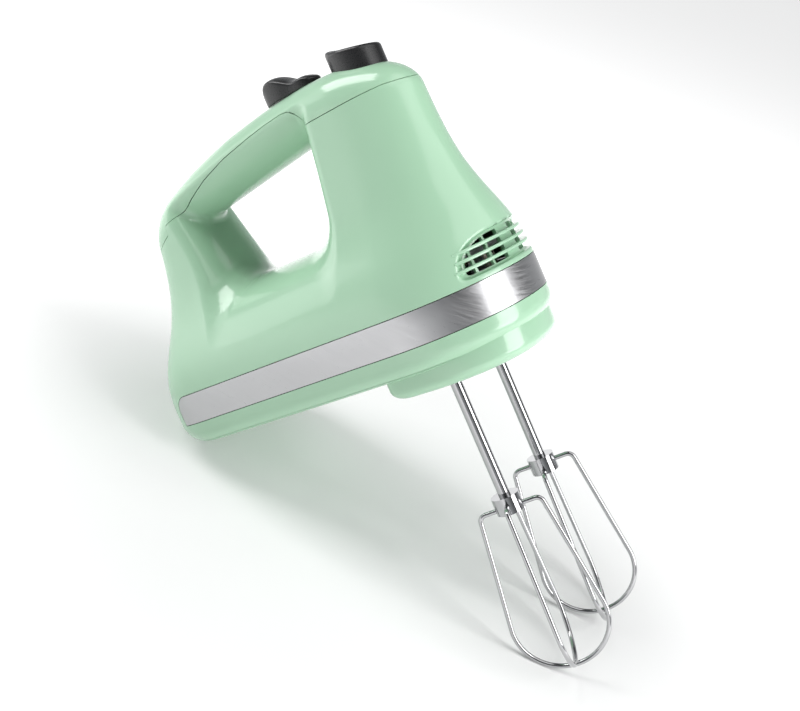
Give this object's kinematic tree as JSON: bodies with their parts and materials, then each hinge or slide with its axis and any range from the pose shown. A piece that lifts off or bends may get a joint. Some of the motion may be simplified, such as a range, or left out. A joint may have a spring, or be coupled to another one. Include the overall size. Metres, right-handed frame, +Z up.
{
  "type": "hand mixer",
  "caption": "Hand-held kitchen mixer with a looped grip, a speed slider, a beater release button and twin wire beaters driven by a worm gear.",
  "frame": {"origin": "centre of the bounding box's bottom face, on the table the mixer rests on", "axes": "+Z up, +X horizontal from the heel towards the nose and beaters, +Y to the user's left; the mixer leans nose-up on its heel and both beater tips"},
  "size_m": [0.2832, 0.091, 0.214],
  "materials": {
    "shell": "gloss moulded mint green ABS",
    "band": "satin silver anodised strip",
    "controls": "satin charcoal moulded plastic",
    "beater_steel": "polished stainless steel wire and rod",
    "lamination": "stacked electrical steel",
    "copper": "enamelled copper wire and copper bars",
    "carbon": "pressed carbon",
    "bronze": "oil-filled sintered bronze",
    "ground_steel": "ground steel",
    "spring_steel": "drawn spring steel",
    "zinc_screws": "zinc-plated screws",
    "nylon": "natural nylon gears",
    "die_cast": "die-cast frame",
    "black_plastic": "moulded black nylon",
    "board": "glass-epoxy circuit board",
    "gland_rubber": "moulded rubber gland"
  },
  "bodies": {
    "housing": {"main_housing": "shell", "top_cover": "shell", "base_cover": "shell", "trim_band": "band", "stator_core": "lamination", "field_coils": "copper", "carbon_brushes": "carbon", "brush_holders": "black_plastic", "gearbox_frame": "die_cast", "gearbox_bridge": "die_cast", "gearbox_posts": "die_cast", "front_bearing": "bronze", "rear_bearing": "bronze", "rear_bearing_bracket": "die_cast", "left_lower_bushing": "bronze", "left_upper_bushing": "bronze", "right_lower_bushing": "bronze", "right_upper_bushing": "bronze", "eject_guide": "black_plastic", "speed_switch": "black_plastic", "control_board": "board", "cord_inlet_gland": "gland_rubber", "housing_screws": "zinc_screws", "gearbox_screws": "zinc_screws", "stator_screws": "zinc_screws"},
    "motor": {"armature_core": "lamination", "armature_winding": "copper", "motor_shaft": "ground_steel", "commutator": "copper", "cooling_fan": "black_plastic", "worm": "ground_steel"},
    "left_drive": {"left_worm_wheel": "nylon", "left_spindle": "ground_steel", "left_thrust_washer": "ground_steel", "left_retaining_clip": "spring_steel"},
    "right_drive": {"right_worm_wheel": "nylon", "right_spindle": "ground_steel", "right_thrust_washer": "ground_steel", "right_retaining_clip": "spring_steel"},
    "left_beater": {"left_beater_shaft": "beater_steel", "left_beater_collar": "beater_steel", "left_beater_loop_a": "beater_steel", "left_beater_loop_b": "beater_steel"},
    "right_beater": {"right_beater_shaft": "beater_steel", "right_beater_collar": "beater_steel", "right_beater_loop_a": "beater_steel", "right_beater_loop_b": "beater_steel"},
    "eject": {"eject_button": "controls", "eject_rod": "ground_steel", "eject_plate": "ground_steel", "eject_spring": "spring_steel"},
    "speed_control": {"speed_slider": "controls", "switch_carriage": "black_plastic"}
  },
  "joints": [
    {"name": "motor_spin", "type": "hinge", "parent": "housing", "child": "motor", "pos_m": [-0.04289, -0.00003, 0.08041], "axis": [0.691, 0, 0.7228], "continuous": true},
    {"name": "left_beater_spin", "type": "hinge", "parent": "housing", "child": "left_drive", "pos_m": [0.02717, 0.02097, 0.11027], "axis": [-0.7228, 0, 0.691], "continuous": true},
    {"name": "right_beater_spin", "type": "hinge", "parent": "housing", "child": "right_drive", "pos_m": [0.02717, -0.02103, 0.11027], "axis": [-0.7228, 0, 0.691], "continuous": true},
    {"name": "eject_press", "type": "slide", "parent": "housing", "child": "eject", "axis": [0.7228, 0, -0.691], "range_m": [0, 0.006], "stiffness_N_per_m": 600, "springref_m": -0.004, "deforming": ["eject_spring"]},
    {"name": "left_beater_release", "type": "slide", "parent": "left_drive", "child": "left_beater", "axis": [0.7228, 0, -0.691], "range_m": [0, 0.006]},
    {"name": "right_beater_release", "type": "slide", "parent": "right_drive", "child": "right_beater", "axis": [0.7228, 0, -0.691], "range_m": [0, 0.006]},
    {"name": "speed_slide", "type": "slide", "parent": "housing", "child": "speed_control", "axis": [0.691, 0, 0.7228], "range_m": [0, 0.008]}
  ],
  "couplings": [
    {"joint": "left_beater_spin", "follows": "motor_spin", "ratio": 0.083333},
    {"joint": "right_beater_spin", "follows": "motor_spin", "ratio": -0.083333},
    {"joint": "left_beater_release", "follows": "eject_press", "ratio": 1},
    {"joint": "right_beater_release", "follows": "eject_press", "ratio": 1}
  ]
}
